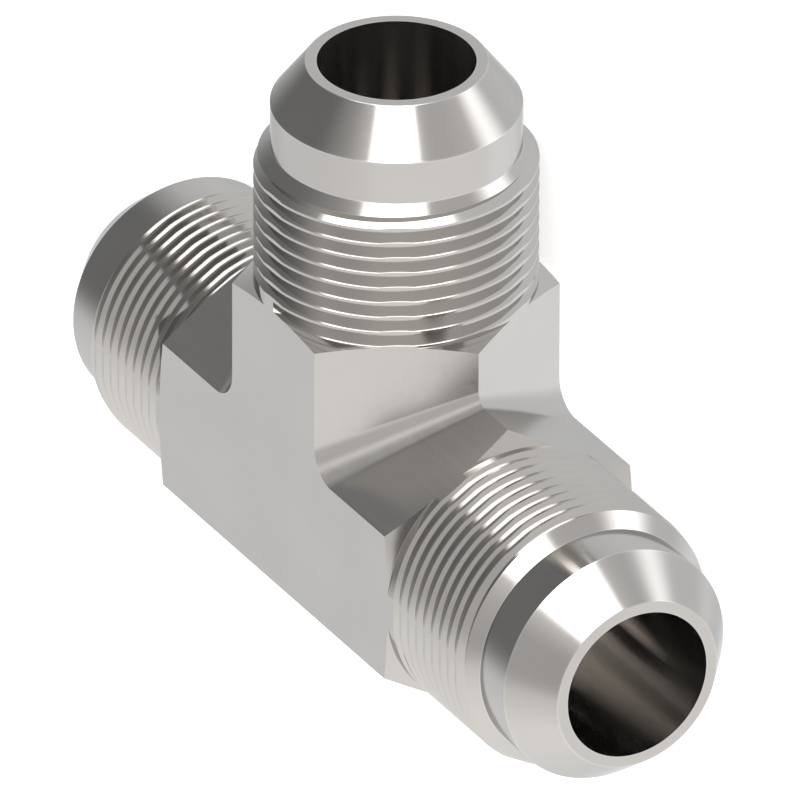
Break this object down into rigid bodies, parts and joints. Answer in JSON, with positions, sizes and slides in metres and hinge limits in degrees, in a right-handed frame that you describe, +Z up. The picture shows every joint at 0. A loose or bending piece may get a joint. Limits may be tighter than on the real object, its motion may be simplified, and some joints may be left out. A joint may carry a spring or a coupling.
{
  "type": "tee adapter",
  "caption": "Metal tee adapter for flared tube: hexagonal run and branch in one piece, each arm with an outside thread, a plain nose and a 37 degree seat, and bores that meet inside.",
  "frame": {"origin": "the point where the axis of the run and the axis of the branch cross", "axes": "+X along the run, +Y along the branch towards its port, +Z up from the side flat that the part lies on"},
  "size_m": [0.0742, 0.0498, 0.022],
  "materials": {
    "machined_steel": "fine machined, bright satin"
  },
  "bodies": {
    "root": {"tee_body": "machined_steel"}
  },
  "joints": []
}
